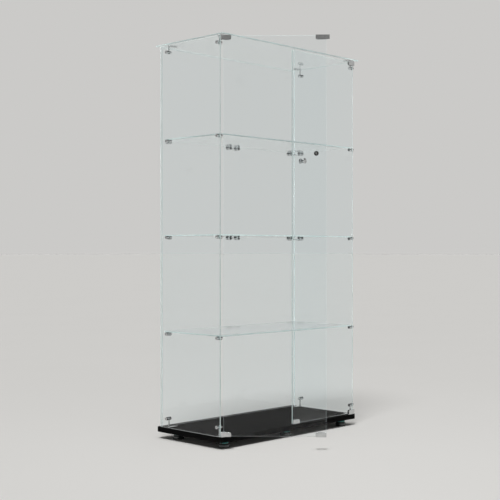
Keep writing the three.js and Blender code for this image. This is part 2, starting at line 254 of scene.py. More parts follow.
def make_chrome():
    """Polished chrome with hairline polishing marks and a few duller patches."""
    shader = Shader("chrome")
    shader.set(Metallic=1.0)
    patches = shader.noise(0.012, 3.0)
    shader.colour_from(shader.ramp(patches, [(0.3, (0.55, 0.56, 0.57)), (0.7, (0.68, 0.69, 0.69))]))
    shader.roughness_from(shader.spread(shader.noise(0.0016, 2.0, (1, 1, 6)), 0.06, 0.14))
    shader.bump(shader.noise(0.0012, 2.0, (1, 1, 8)), 0.00001, 0.5)
    return shader.material


def make_steel():
    """Duller steel of screws and sockets."""
    shader = Shader("screw_steel")
    shader.set(Metallic=1.0)
    shader.colour_from(shader.ramp(shader.noise(0.002), [(0.3, grey(0.24)), (0.7, grey(0.38))]))
    shader.roughness_from(shader.spread(shader.noise(0.001), 0.25, 0.4))
    return shader.material


def make_board():
    """Black laminate: a satin skin with a fine orange peel and faint rub marks."""
    shader = Shader("black_laminate")
    shader.set(Specular_IOR_Level=0.0)
    cloud = shader.noise(0.12, 5.0)
    shader.colour_from(shader.ramp(cloud, [(0.3, grey(0.017)), (0.7, grey(0.021))]))
    shader.roughness_from(shader.spread(shader.noise(0.05, 4.0, (1, 0.3, 1)), 0.3, 0.42))
    shader.bump(shader.noise(0.0018, 2.0), 0.00002, 0.35)
    return shader.material


def make_painted_shade_banding():
    """The board's edge banding, with a fine grain along it. Its colour is painted blacker than the faces:
    painted shade for the board's sides, which take little of the overhead light.
    """
    shader = Shader("edge_banding_painted_shade")
    shader.set(Specular_IOR_Level=0.0)
    grain = shader.noise(0.004, 3.0, (0.1, 0.1, 1))
    # painted shade: the banding's colour is darker than the board's faces, for the shade on the sides
    shader.colour_from(shader.ramp(grain, [(0.3, grey(0.005)), (0.7, grey(0.009))]))
    shader.roughness_from(shader.spread(shader.noise(0.02), 0.35, 0.45))
    shader.bump(shader.noise(0.0015, 2.0, (0.2, 0.2, 1)), 0.00002, 0.3)
    return shader.material


def make_foot_plastic():
    """Glossy dark teal moulded plastic."""
    shader = Shader("foot_plastic")
    shader.set(Coat_Weight=0.8, Coat_Roughness=0.04)
    tint = shader.ramp(shader.noise(0.01), [(0.3, (0.004, 0.010, 0.010)), (0.7, (0.008, 0.020, 0.020))])
    shader.colour_from(tint)
    shader.roughness_from(shader.spread(shader.noise(0.003), 0.10, 0.20))
    shader.bump(shader.noise(0.0008, 2.0), 0.00002, 0.2)
    return shader.material


def make_foot_collar():
    """Teal see-through plastic of the feet's collars."""
    shader = Shader("foot_collar_plastic")
    shader.set(Coat_Weight=1.0, Coat_Roughness=0.03)
    tint = shader.ramp(shader.noise(0.006), [(0.3, (0.010, 0.130, 0.120)), (0.7, (0.040, 0.300, 0.270))])
    shader.colour_from(tint)
    shader.roughness_from(shader.spread(shader.noise(0.002), 0.08, 0.16))
    return shader.material


def make_rubber():
    """Dark soft pads between metal and glass."""
    shader = Shader("pad_rubber")
    shader.colour_from(shader.ramp(shader.noise(0.002), [(0.3, grey(0.035)), (0.7, grey(0.06))]))
    shader.roughness_from(shader.spread(shader.noise(0.0008), 0.6, 0.8))
    shader.bump(shader.noise(0.0005, 2.0), 0.00002, 0.4)
    return shader.material


def make_lock_black():
    """Black chrome of the lock's bezel."""
    shader = Shader("lock_black")
    shader.set(Metallic=0.4, Coat_Weight=0.5, Coat_Roughness=0.06)
    shader.colour_from(shader.ramp(shader.noise(0.004), [(0.3, grey(0.006)), (0.7, grey(0.014))]))
    shader.roughness_from(shader.spread(shader.noise(0.0012, 2.0, (1, 1, 5)), 0.16, 0.28))
    return shader.material


def make_floor_material():
    """Plain pale studio floor with the faintest mottling."""
    shader = Shader("studio_floor")
    shader.set(Specular_IOR_Level=0.0, Roughness=0.9)
    mottle = shader.noise(0.9, 3.0)
    shader.colour_from(shader.ramp(mottle, [(0.2, (0.795, 0.788, 0.770)), (0.8, (0.805, 0.798, 0.780))]))
    return shader.material


PANE = make_pane_glass()
EDGE = make_painted_glow_edge()
BEAD = make_joint_bead()
CHROME = make_chrome()
STEEL = make_steel()
BOARD = make_board()
PAINTED_SHADE_BANDING = make_painted_shade_banding()
FOOT = make_foot_plastic()
COLLAR = make_foot_collar()
RUBBER = make_rubber()
LOCK_BLACK = make_lock_black()

# ---------- solids ----------


def to_object(name, bm):
    bmesh.ops.recalc_face_normals(bm, faces=bm.faces)
    mesh = bpy.data.meshes.new(name)
    bm.to_mesh(mesh)
    bm.free()
    made = bpy.data.objects.new(name, mesh)
    bpy.context.scene.collection.objects.link(made)
    return made


def block(low, high):
    bm = bmesh.new()
    bmesh.ops.create_cube(bm, size=1.0)
    low, high = Vector(low), Vector(high)
    for vertex in bm.verts:
        vertex.co = Vector(low[i] if vertex.co[i] < 0 else high[i] for i in range(3))
    return to_object("block", bm)


def prism(points, low, high, axis="z"):
    """A flat outline drawn through from low to high. The outline is in x and y for axis z, and in x and
    z for axis y."""
    bm = bmesh.new()

    def at(point, level):
        return (point[0], point[1], level) if axis == "z" else (point[0], level, point[1])

    rings = [[bm.verts.new(at(point, level)) for point in points] for level in (low, high)]
    for ring in rings:
        bm.faces.new(ring)
    count = len(points)
    for i in range(count):
        j = (i + 1) % count
        bm.faces.new((rings[0][i], rings[0][j], rings[1][j], rings[1][i]))
    return to_object("prism", bm)


def arc(x, y, radius, start, stop, steps=8):
    """Points on an arc, with its angles in degrees."""
    angles = [math.radians(start + (stop - start) * i / steps) for i in range(steps + 1)]
    return [(x + radius * math.cos(a), y + radius * math.sin(a)) for a in angles]


def rounded(x0, x1, y0, y1, radius):
    """A rectangle's outline with its four corners rounded."""
    return [
        *arc(x1 - radius, y1 - radius, radius, 0, 90),
        *arc(x0 + radius, y1 - radius, radius, 90, 180),
        *arc(x0 + radius, y0 + radius, radius, 180, 270),
        *arc(x1 - radius, y0 + radius, radius, 270, 360),
    ]


def turned(profile, sides=48):
    """A turned solid about z. The profile lists (radius, height) from the axis and back to it."""
    bm = bmesh.new()
    rings = []
    for radius, height in profile:
        if radius == 0:
            rings.append([bm.verts.new((0, 0, height))])
            continue
        spots = arc(0, 0, radius, 0, 360, sides)[:-1]
        rings.append([bm.verts.new((x, y, height)) for x, y in spots])
    for below, above in zip(rings, rings[1:]):
        for i in range(sides):
            j = (i + 1) % sides
            lower = [below[i % len(below)], below[j % len(below)]]
            upper = [above[j % len(above)], above[i % len(above)]]
            bm.faces.new(list(dict.fromkeys(lower + upper)))
    return to_object("turned", bm)


def bar(axis, radius, start, stop, middle=(0, 0, 0), sides=48):
    """A round bar along an axis, from one place on it to another."""
    low, high = min(start, stop), max(start, stop)
    made = turned([(0, low), (radius, low), (radius, high), (0, high)], sides)
    return moved(made, Matrix.Translation(middle) @ ALONG[axis])


ALONG = {
    "x": Matrix.Rotation(math.radians(90), 4, "Y"),
    "y": Matrix.Rotation(math.radians(-90), 4, "X"),
    "z": Matrix.Identity(4),
}


def moved(piece, matrix):
    """The piece moved by matrix, in its mesh. A mirrored piece is turned right side out again."""
    piece.data.transform(matrix)
    if matrix.determinant() < 0:
        piece.data.flip_normals()
    return piece


def copied(pieces, matrix):
    copies = []
    for piece in pieces:
        copy = piece.copy()
        copy.data = piece.data.copy()
        bpy.context.scene.collection.objects.link(copy)
        copies.append(moved(copy, matrix))
    return copies


def discard(*pieces):
    for piece in pieces:
        bpy.data.objects.remove(piece)


def applied(piece):
    """The piece with its modifiers applied."""
    graph = bpy.context.evaluated_depsgraph_get()
    mesh = bpy.data.meshes.new_from_object(piece.evaluated_get(graph))
    piece.modifiers.clear()
    piece.data = mesh
    return piece


def combined(piece, tools, operation):
    for tool in tools:
        modifier = piece.modifiers.new("combine", "BOOLEAN")
        modifier.object = tool
        modifier.operation = operation
        modifier.solver = "EXACT"
    applied(piece)
    discard(*tools)
    return piece


def joined(piece, *tools):
    return combined(piece, tools, "UNION")


def cut(piece, *tools):
    return combined(piece, tools, "DIFFERENCE")


def finished(piece, material, edge=0.4, segments=3):
    """A solid with its edges rounded and its material given."""
    if edge:
        modifier = piece.modifiers.new("edges", "BEVEL")
        modifier.width = edge
        modifier.segments = segments
        modifier.limit_method = "ANGLE"
        modifier.angle_limit = math.radians(35)
        modifier.use_clamp_overlap = True
        applied(piece)
    piece.data.materials.clear()
    piece.data.materials.append(material)
    return piece


def assembled(name, pieces):
    """One object from several finished solids, each keeping its material."""
    bm = bmesh.new()
    materials = []
    for piece in pieces:
        own = list(piece.data.materials)
        slots = []
        for material in own:
            if material not in materials:
                materials.append(material)
            slots.append(materials.index(material))
        first = len(bm.faces)
        bm.from_mesh(piece.data)
        bm.faces.ensure_lookup_table()
        for face in bm.faces[first:]:
            face.material_index = slots[face.material_index]
    mesh = bpy.data.meshes.new(name)
    bm.to_mesh(mesh)
    bm.free()
    for material in materials:
        mesh.materials.append(material)
    discard(*pieces)
    mesh.shade_smooth()
    mesh.set_sharp_from_angle(angle=math.radians(40))
    made = bpy.data.objects.new(name, mesh)
    bpy.context.scene.collection.objects.link(made)
    return made


def place(pieces, name, node, matrix, body, slot):
    """Copies of a fitting's solids, in place, as the piece that stands for a CAD node."""
    made = assembled(name, copied(pieces, matrix @ Matrix.Scale(MM, 4)))
    normals = made.modifiers.new("normals", "WEIGHTED_NORMAL")
    normals.keep_sharp = True
    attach(made, body)
    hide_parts(node)
    return made


def mirror(x=1, z=1):
    return Matrix.Diagonal((x, 1, z, 1))


# ---------- fittings on the glass walls ----------
#
# These are drawn with the middle of the glass at x = 0 and the outside of the cabinet towards +x.


def socket_screw(radius, start, stop, middle, axis="z"):
    """A small screw with a hexagon socket in the end at stop."""
    way = 1 if stop > start else -1
    screw = bar(axis, radius, start, stop, middle, 24)
    hollow = bar(axis, radius * 0.55, stop - way * radius * 0.8, stop + way, middle, 6)
    return finished(cut(screw, hollow), STEEL, 0.15, 2)


def capped_bolt(height=0.0):
    """A bolt through the glass along x, with rubber on both faces and a cap outside."""
    middle = (0, 0, height)
    end = FACE + CAP_LENGTH
    cap = bar("x", BOLT_CAP, FACE, end, middle)
    cap = cut(cap, bar("x", CAP_SOCKET["well"], end - 2.2, end + 1, middle, 24))
    ring = bar("x", CAP_SOCKET["ring"], end - 4, end - 1.6, middle, 24)
    socket = cut(ring, bar("x", CAP_SOCKET["hexagon"], end - 3.4, end, middle, 6))
    neck = bar("x", BOLT_NECK, -FACE - 1, FACE + 1, middle)
    return [
        finished(cap, CHROME, 0.8),
        finished(socket, STEEL, 0.1, 1),
        finished(neck, STEEL, 0),
        finished(bar("x", BOLT_CAP - 0.5, GLASS / 2, FACE, middle), RUBBER, 0),
        finished(bar("x", BOLT_CAP - 0.5, -FACE, -GLASS / 2, middle), RUBBER, 0),
    ]


def bolt_pad(height):
    """The bolt's nut inside the glass: a thin collar and a domed head with a groove between them."""
    middle = (0, 0, height)
    collar_end = -FACE - PAD_COLLAR
    return [
        finished(bar("x", BOLT_CAP, collar_end, -FACE, middle), CHROME, 0.5),
        finished(bar("x", BOLT_CAP, -FACE - PAD_LENGTH, collar_end - PAD_GROOVE, middle), CHROME, 1.2, 4),
        finished(bar("x", BOLT_CAP - 1, collar_end - 1, -FACE - 1, middle), STEEL, 0),
    ]


def corner_bracket(height):
    """Ties a side wall to the board or the top panel: a screwed plate, a stem and a bolt."""
    length, width, thickness = PLATE["length"], PLATE["width"], PLATE["thickness"]
    outline = rounded(-FACE - length, -FACE, -width / 2, width / 2, 3)
    top = GAP + thickness
    plate = prism(outline, GAP, top)
    screws = []
    for fraction in PLATE_SCREWS["places"]:
        middle = (-FACE - length * fraction, 0, 0)
        well = bar("z", PLATE_SCREWS["well"], top - PLATE_SCREWS["well_depth"], top + 1, middle, 32)
        plate = cut(plate, well)
        screws.append(socket_screw(PLATE_SCREWS["radius"], GAP + 0.5, top - 0.3, middle))
    collar = turned(STEM_COLLAR)
    stem = bar("z", STEM_RADIUS, 2, height)
    inward = Matrix.Translation((STEM_X, 0, 0))
    post = [finished(moved(piece, inward), CHROME, 0.3) for piece in (collar, stem)]
    return [
        finished(plate, CHROME, 0.6),
        *screws,
        *post,
        *capped_bolt(height),
        *bolt_pad(height),
    ]


def shelf_support():
    """Carries a shelf's edge: a drum on the bolt's inner end, with a rubber seat on its flat."""
    radius, length, seat = SUPPORT["radius"], SUPPORT["length"], SUPPORT["seat"]
    end = -FACE - length
    drum = bar("x", radius, end, -FACE)
    ring = cut(bar("x", radius - 1.6, end - 1, end + 0.7), bar("x", radius - 2.8, end - 2, end + 1))
    flat = block((end - 1, -radius, seat), (-FACE + 1, radius, radius + 1))
    drum = cut(drum, ring, flat)
    pad = block((end + 1.2, -4.6, seat), (-FACE - 1.2, 4.6, seat + GAP))
    return [finished(drum, CHROME, 0.5), finished(pad, RUBBER, 0), *capped_bolt()]


def link_bar(start, stop):
    """A flat bar from one support to another."""
    a, b = Vector(start), Vector(stop)
    along = b - a
    half = along.length / 2
    outline = rounded(-half, half, -LINK["width"] / 2, LINK["width"] / 2, 2)
    body = prism(outline, LINK["bottom"], LINK["top"])
    turn = Matrix.Rotation(math.atan2(along.y, along.x), 4, "Z")
    middle = Matrix.Translation(((a.x + b.x) / 2, (a.y + b.y) / 2, 0))
    return finished(moved(body, middle @ turn), CHROME, 0.6)


def turned_to_back(x, y):
    """Takes a fitting on a side wall to the back wall at x, y."""
    return Matrix.Translation((x, y, 0)) @ Matrix.Rotation(math.radians(90), 4, "Z")


def place_wall_fittings():
    brackets = {end: corner_bracket(bracket_height(end)) for end in ("base", "top")}
    support = shelf_support()
    back_support = copied(support, turned_to_back(0, 0))

    # The corner connector's second support, on the back wall, from the middle of the side wall.
    back_bolt_x = (corner_support_x() - centre("side_panel_right").x) / MM
    back_bolt_y = (BACK_Y - BOLT_Y["back"]) / MM
    reach = FACE + SUPPORT["length"] / 2
    connector = [
        *copied(support, Matrix.Identity(4)),
        *copied(support, turned_to_back(back_bolt_x, back_bolt_y)),
        link_bar((-reach, 0), (back_bolt_x, back_bolt_y - reach)),
    ]

    for side, way in SIDES.items():
        x = centre(f"side_panel_{side}").x
        for row, y in BOLT_Y.items():
            for end, level, up in (("base", BOARD_TOP, 1), ("top", CEILING, -1)):
                node = f"{end}_bracket_{row}_{side}"
                spot = Matrix.Translation((x, y, level)) @ mirror(way, up)
                place(brackets[end], f"{node}_chrome", node, spot, "cabinet", "chrome")
        for shelf in LEVELS:
            level = support_level(shelf)
            back_x = centre(f"{shelf}_shelf_back_support_{side}").x
            for kind, spot, pieces in (
                ("front", (x, BOLT_Y["front"], level), support),
                ("corner", (x, BOLT_Y["back"], level), connector),
                ("back", (back_x, BACK_Y, level), back_support),
            ):
                node = f"{shelf}_shelf_{kind}_support_{side}"
                matrix = Matrix.Translation(spot) @ mirror(way)
                place(pieces, f"{node}_chrome", node, matrix, "cabinet", "chrome")
    discard(*brackets["base"], *brackets["top"], *support, *back_support, *connector)


# ---------- fittings on the doors ----------
#
# A door's fittings are drawn for the right-hand run of a door: the pivot is at the origin, the door runs
# along +x, its glass is centred on y = 0 and the cabinet's inside is towards +y.


def clamp_outline(start, stop):
    """A clamp's side view, with its corner inside the pane rounded off."""
    height, corner = CLAMP["height"], CLAMP["corner"]
    return [(start, 0), (stop, 0), *arc(stop - corner, height - corner, corner, 0, 90), (start, height)]


def grip(start, stop):
    """The slot that takes the glass."""
    return block((start, -FACE, CLAMP["web"]), (stop, FACE, CLAMP["height"] + 1))


def grip_pads(start, stop):
    """Rubber on both faces of the glass."""
    top = CLAMP["height"] - 1.5
    spans = [(-FACE, -GLASS / 2), (GLASS / 2, FACE)]
    return [finished(block((start, low, 3.2), (stop, high, top)), RUBBER, 0) for low, high in spans]


def clamp_screws(places):
    """The wells for a clamp's two grub screws on its inner face, and the screws."""
    half, height = CLAMP["half"], CLAMP["height"] * 0.6
    wells = [bar("y", SMALL_WELL, half - 1.2, half + 1, (x, 0, height), 24) for x in places]
    screws = [socket_screw(SMALL_SCREW, half - 2.4, half - 0.2, (x, 0, height), "y") for x in places]
    return wells, screws


def hinge_clamp():
    """A clamp on the door's hinge corner, rounded about the bore that takes the pin."""
    half, height = CLAMP["half"], CLAMP["height"]
    end = CLAMP["length"] - half
    wells, screws = clamp_screws([end - back for back in HINGE_CLAMP_SCREWS])
    body = joined(prism(clamp_outline(0, end), -half, half, "y"), bar("z", half, 0, height))
    bore = bar("z", PIN_RADIUS + GAP, -1, PIN_BORE_DEPTH, sides=32)
    body = cut(body, grip(DOOR_HEEL - GAP, end + 1), bore, *wells)
    return [finished(body, CHROME, 0.5), *grip_pads(DOOR_HEEL + 1, end - 1.5), *screws]


def catch_clamp(near, tongue):
    """A clamp on the door's free corner at x = near. Its outer face may carry a tongue that laps over the
    other door."""
    half, height = CLAMP["half"], CLAMP["height"]
    far = near - CLAMP["length"]
    wells, screws = clamp_screws([far + along for along in CATCH_CLAMP_SCREWS])
    flip = Matrix.Translation((near + far, 0, 0)) @ mirror(-1)
    body = moved(prism(clamp_outline(far, near), -half, half, "y"), flip)
    if tongue:
        lap_end = near + TONGUE_REACH
        body = joined(body, block((near - 1, -half, 0), (lap_end, -GLASS / 2 - TONGUE_GAP, height)))
    body = cut(body, grip(far - 1, near + TONGUE_REACH + 1), *wells)
    return [finished(body, CHROME, 0.5), *grip_pads(far + 1.5, near - 1), *screws]


def hinge_plate():
    """The screwed plate that carries the hinge pin."""
    sizes = HINGE_PLATE
    front, back = sizes["front"], sizes["back"]
    top = GAP + sizes["thickness"]
    plate = prism(rounded(sizes["from"], sizes["to"], front, back, 2), GAP, top)
    middle = (front + back) / 2
    wells = []
    screws = []
    for x in sizes["screws"]:
        wells.append(bar("z", SMALL_WELL, top - 1, top + 1, (x, middle, 0), 24))
        screws.append(socket_screw(SMALL_SCREW, GAP + 0.3, top - 0.2, (x, middle, 0)))
    pin_end = CLAMP_LIFT + PIN_LENGTH
    radius = PIN_RADIUS
    pin = turned([(0, 1), (radius, 1), (radius, pin_end - 1), (radius - 1, pin_end), (0, pin_end)])
    return [finished(cut(plate, *wells), CHROME, 0.4), finished(pin, STEEL, 0.2, 2), *screws]


def knob_half(with_stud):
    """Half of a knob, turned about z and facing +z from the middle of the glass."""
    cap, start, rim, end = KNOB["cap"], KNOB["start"], KNOB["rim"], KNOB["end"]
    stem, flange, flange_depth = KNOB["stem"], KNOB["flange"], KNOB["flange_depth"]
    dome = [(cap * x, rim + (end - rim) * y) for x, y in arc(0, 0, 1, 0, 72)]
    profile = [
        (0, FACE),
        (flange, FACE),
        (flange, FACE + flange_depth),
        *arc(stem + KNOB_FLARE, FACE + flange_depth + KNOB_FLARE, KNOB_FLARE, 270, 180, 3),
        (stem, start - 1.5),
        (stem + 0.6, start - 0.5),
        (stem + 2.0, start),
        (cap - 1, start),
        (cap - 0.3, start + 0.4),
        *dome,
        (0, end),
    ]
    body = turned(profile, 64)
    washer = finished(bar("z", flange - 0.4, GLASS / 2, FACE), RUBBER, 0)
    made = [finished(body, CHROME, 0), washer]
    if with_stud:
        made.append(finished(bar("z", STUD_RADIUS, -STUD_LENGTH, FACE + 1, sides=32), STEEL, 0.3, 2))
    return made


def lock_case():
    """The lock's body, facing +z: a rounded black bezel, a threaded barrel and its nut."""
    bezel, depth, barrel, back = LOCK["bezel"], LOCK["depth"], LOCK["barrel"], LOCK["back"]
    hole = PLUG["radius"] + GAP
    front = FACE + depth
    edge = 1.2
    face = [(0, FACE), (bezel, FACE), (bezel, front - edge)]
    face += arc(bezel - edge, front - edge, edge, 22.5, 90, 3)
    face += [(hole + 1.6, front), (hole, front - 0.9), (0, front - 0.9)]
    ring = cut(turned(face, 64), bar("z", hole, 0, front + 1, sides=48))
    turns = 7
    pitch = (back + FACE) / turns
    thread = [(0, -back)]
    for i in range(turns):
        low = -back + i * pitch
        thread += [(barrel - 0.35, low), (barrel, low + pitch * 0.5)]
    thread += [(barrel - 0.35, FACE + 1), (0, FACE + 1)]
    tube = cut(turned(thread, 48), bar("z", hole, -back - 1, FACE + 2, sides=48))
    nut = bar("z", LOCK["nut"], -FACE - LOCK["nut_depth"], -FACE, sides=6)
    nut = cut(nut, bar("z", barrel - 0.2, -FACE - LOCK["nut_depth"] - 1, 0, sides=48))
    return [finished(ring, LOCK_BLACK, 0), finished(tube, STEEL, 0), finished(nut, STEEL, 0.5)]


def lock_core():
    """The plug that takes the key, facing +z."""
    radius, back = PLUG["radius"], LOCK["back"]
    front = GLASS / 2 + LOCK["depth"]
    body = turned([(0, -back), (radius, -back), (radius, front - 0.5), (radius - 0.5, front), (0, front)])
    width, length = KEYWAY["half_width"], KEYWAY["half_length"]
    body = cut(body, block((-width, -length, front - KEYWAY["depth"]), (width, length, front + 1)))
    tail = bar("z", PLUG["tail"], -back - PLUG["tail_length"], -back + 1, sides=32)
    return [finished(body, CHROME, 0.15, 2), finished(tail, STEEL, 0.3, 2)]


FACING_FRONT = Matrix.Rotation(math.radians(90), 4, "X")
FACING_BACK = Matrix.Rotation(math.radians(-90), 4, "X")


def door_frame(side):
    """Takes a door's own frame, in metres, to the cabinet's. The door runs along +x there."""
    joint = JOINTS[f"{side}_door_swing"]
    pivot = Matrix.Translation((joint["pos_m"][0], joint["pos_m"][1], 0))
    if side == "right":
        return pivot @ mirror(-1)
    return pivot @ Matrix.Rotation(-math.radians(joint["range_deg"][1]), 4, "Z")


def place_door_fittings():
    low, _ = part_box("right_door_glass")
    pivot_x = JOINTS["right_door_swing"]["pos_m"][0]
    reach = (pivot_x - low.x) / MM
    hinge = hinge_clamp()
    plate = hinge_plate()
    for side, way in SIDES.items():
        body = f"{side}_door"
        joint = JOINTS[f"{side}_door_swing"]
        for end, level, up in (("bottom", BOARD_TOP, 1), ("top", CEILING, -1)):
            lifted = Matrix.Translation((0, 0, level + up * CLAMP_LIFT * MM))
            spot = door_frame(side) @ lifted @ mirror(1, up)
            node = f"{side}_door_hinge_{end}"
            place(hinge, f"{node}_chrome", node, spot, body, "chrome")

            if side == "left" or end == "bottom":
                catch = catch_clamp(reach, tongue=end == "top")
                node = f"{side}_door_catch_{end}"
                place(catch, f"{node}_chrome", node, spot, body, "chrome")
                discard(*catch)

            node = f"{side}_hinge_plate_{end}"
            spot = Matrix.Translation((joint["pos_m"][0], joint["pos_m"][1], level)) @ mirror(-way, up)
            place(plate, f"{node}_chrome", node, spot, "cabinet", "chrome")
    discard(*hinge, *plate)

    handle_z = JOINTS["lock_turn"]["pos_m"][2]
    lock_spot = door_frame("left") @ Matrix.Translation(((reach - LOCK_FROM_EDGE) * MM, 0, handle_z))
    knob_spot = door_frame("right") @ Matrix.Translation(((reach - KNOB_FROM_EDGE) * MM, 0, handle_z))
    for pieces, node, spot, body, slot in (
        (lock_case(), "lock_body", lock_spot @ FACING_FRONT, "left_door", "lock_face"),
        (lock_core(), "lock_plug", lock_spot @ FACING_FRONT, "lock", "chrome"),
        (knob_half(True), "knob_outer", knob_spot @ FACING_FRONT, "right_door", "chrome"),
        (knob_half(False), "knob_inner", knob_spot @ FACING_BACK, "right_door", "chrome"),
    ):
        place(pieces, f"{node}_detail", node, spot, body, slot)
        discard(*pieces)


# ---------- board and feet ----------


def board_solids():
    """Laminate faces above and below, banding round the edge, and a core behind the seams."""
    size = (BOARD_HIGH - BOARD_LOW) / MM
    x, y, top = size.x / 2, size.y / 2, size.z
    outline = rounded(-x, x, -y, y, BOARD_CORNER)
    core = rounded(-x + 0.5, x - 0.5, -y + 0.5, y - 0.5, BOARD_CORNER)
    banding_edge = BOARD_SHEET + BOARD_SEAM
    return [
        finished(prism(outline, 0, BOARD_SHEET), BOARD, 0.5, 2),
        # The banding round the sides carries painted shade: it is coloured darker than the faces.
        finished(prism(outline, banding_edge, top - banding_edge), PAINTED_SHADE_BANDING, 0.25, 2),
        finished(prism(outline, top - BOARD_SHEET, top), BOARD, 0.5, 2),
        finished(prism(core, 0.2, top - 0.2), BOARD, 0),
    ]


def foot_solids():
    """A foot on its rubber pad. Each profile lists (radius, height above the floor)."""
    radius, waist, height = FOOT_RADIUS, FOOT_WAIST, (BOARD_LOW.z / MM) - GAP
    pad = [(0, 0), (radius - 1.5, 0), (radius - 0.5, 0.6), (radius - 0.5, 2.4), (0, 2.4)]
    rim = [(0, 2), (radius, 2), (radius, 11)]
    rim += arc(radius - 2.5, 11, 2.5, 15, 90, 5)
    rim += [(waist + 1.0, 14), (waist, 15), (waist, 17), (0, 17)]
    collar = [(0, 16.5), (waist - 1, 16.5)]
    collar += arc(waist - 2, 19.5, 2.6, -60, 60, 8)
    collar += [(waist - 1, 22.5), (0, 22.5)]
    cap = [(0, 22), (waist, 22), (waist, height - 0.6), (waist - 0.6, height), (0, height)]
    return [
        finished(turned(pad, 64), RUBBER, 0),
        finished(turned(rim, 64), FOOT, 0.3, 2),
        finished(turned(collar, 64), COLLAR, 0),
        finished(turned(cap, 64), FOOT, 0),
    ]


def place_base():
    board = board_solids()
    middle = centre("base_board")
    spot = Matrix.Translation((middle.x, middle.y, BOARD_LOW.z))
    place(board, "base_board_laminate", "base_board", spot, "cabinet", "black_board")

    foot = foot_solids()
    for row in ("front", "back"):
        for column in ("left", "middle", "right"):
            node = f"foot_{row}_{column}"
            low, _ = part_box(node)
            middle = centre(node)
            spot = Matrix.Translation((middle.x, middle.y, low.z))
            place(foot, f"{node}_plastic", node, spot, "cabinet", "black_foot")
    discard(*board, *foot)


# ---------- glass ----------

# How much of a direction a face's normal has: enough for it or its bevel to face that way, and all of it.
FACES_THAT_WAY = 0.7
SQUARE_ON = 0.999
EDGE_SLOT = 1
BEAD_SLOT = 2


def pane(node, low, high, thin, holes, matrix, body, joint=None):
    """A pane with ground edges and drilled holes. The corners and holes are in millimetres. The edge that
    faces the direction joint has the clear bead on it. The other edges get the edge glass with its painted
    glow, save an edge that faces down: it gathers no light, so it gets no painted glow and is left clear."""
    body_mesh = block(low, high)
    drills = []
    for middle, radius in holes:
        drills.append(bar("xyz"[thin], radius, low[thin] - 1, high[thin] + 1, middle, 32))
    if drills:
        body_mesh = cut(body_mesh, *drills)
    made = finished(body_mesh, PANE, 0.35, 1)
    made.data.materials.append(EDGE)
    made.data.materials.append(BEAD)
    for face in made.data.polygons:
        if joint is not None and face.normal.dot(joint) > FACES_THAT_WAY:
            face.material_index = BEAD_SLOT
        # painted light by direction: edges that don't face down get the painted glow
        elif abs(face.normal[thin]) < SQUARE_ON and face.normal.z > -FACES_THAT_WAY:
            face.material_index = EDGE_SLOT
    piece = place([made], f"{node}_pane", node, matrix, body, "clear_glass")
    piece.visible_shadow = False
    piece.visible_diffuse = False
    discard(made)
    return piece


def node_pane(node, thin, holes=(), joint=None):
    """A pane as large as its CAD node, which stands square in the frame."""
    low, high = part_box(node)
    middle = (low + high) / 2
    half = (high - low) / 2 / MM
    local = [((Vector(spot) - middle) / MM, radius) for spot, radius in holes]
    for spot, _ in local:
        spot[thin] = 0
    return pane(node, -half, half, thin, local, Matrix.Translation(middle), "cabinet", joint)


def place_glass():
    hole = BOLT_NECK + GAP
    bracket_levels = [BOARD_TOP + bracket_height("base") * MM, CEILING - bracket_height("top") * MM]
    support_levels = [support_level(shelf) for shelf in LEVELS]
    drilled = bracket_levels + support_levels
    node_pane("top_panel", 2)
    for shelf in LEVELS:
        node_pane(f"shelf_{shelf}", 2)
    for side, way in SIDES.items():
        node = f"side_panel_{side}"
        x = centre(node).x
        node_pane(node, 0, [((x, y, z), hole) for y in BOLT_Y.values() for z in drilled])
        back_x = (way * corner_support_x(), centre(f"lower_shelf_back_support_{side}").x)
        holes = [((x, BACK_Y, z), hole) for x in back_x for z in support_levels]
        node_pane(f"back_panel_{side}", 1, holes, Vector((-way, 0, 0)))

    low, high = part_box("right_door_glass")
    reach = (JOINTS["right_door_swing"]["pos_m"][0] - low.x) / MM
    handle_z = JOINTS["lock_turn"]["pos_m"][2]
    drills = {"left": (LOCK_FROM_EDGE, LOCK["barrel"] + GAP), "right": (KNOB_FROM_EDGE, STUD_RADIUS + GAP)}
    for side, (from_edge, radius) in drills.items():
        bottom, top = (low.z - handle_z) / MM, (high.z - handle_z) / MM
        corners = (Vector((DOOR_HEEL, -GLASS / 2, bottom)), Vector((reach, GLASS / 2, top)))
        drill = [((reach - from_edge, 0, 0), radius)]
        spot = door_frame(side) @ Matrix.Translation((0, 0, handle_z))
        pane(f"{side}_door_glass", *corners, 1, drill, spot, f"{side}_door")


# ---------- camera, floor and light ----------

CAMERA_FROM_BOARD = Vector((-3.1318, -2.9943))
CAMERA_HEIGHT = 0.754
CAMERA_YAW = math.radians(45.74)
LENS = 75.0
SENSOR = 36.0
CLIP_END = 500


def place_camera():
    data = bpy.data.cameras.new("camera")
    data.lens = LENS
    data.sensor_width = SENSOR
    data.clip_end = CLIP_END
    camera = bpy.data.objects.new("camera", data)
    middle = centre("base_board")
    camera.location = (middle.x + CAMERA_FROM_BOARD.x, middle.y + CAMERA_FROM_BOARD.y, CAMERA_HEIGHT)
    camera.rotation_euler = (math.radians(90), 0, -CAMERA_YAW)
    bpy.context.scene.collection.objects.link(camera)
    bpy.context.scene.camera = camera


HORIZON = (0.597, 0.591, 0.578)
UPPER_LIGHT = 0.05
SOFTBOX = 1.6
BEHIND_CAMERA = 0.48
SUN_STRENGTH = 1.69
SUN_ANGLE = math.radians(18)
SUN_TILT = math.radians(28)
SUN_FROM = math.radians(-60)
GLASS_SHADE = 0.76
FLOOR_REACH = 150
FLOOR_THICKNESS = 0.02

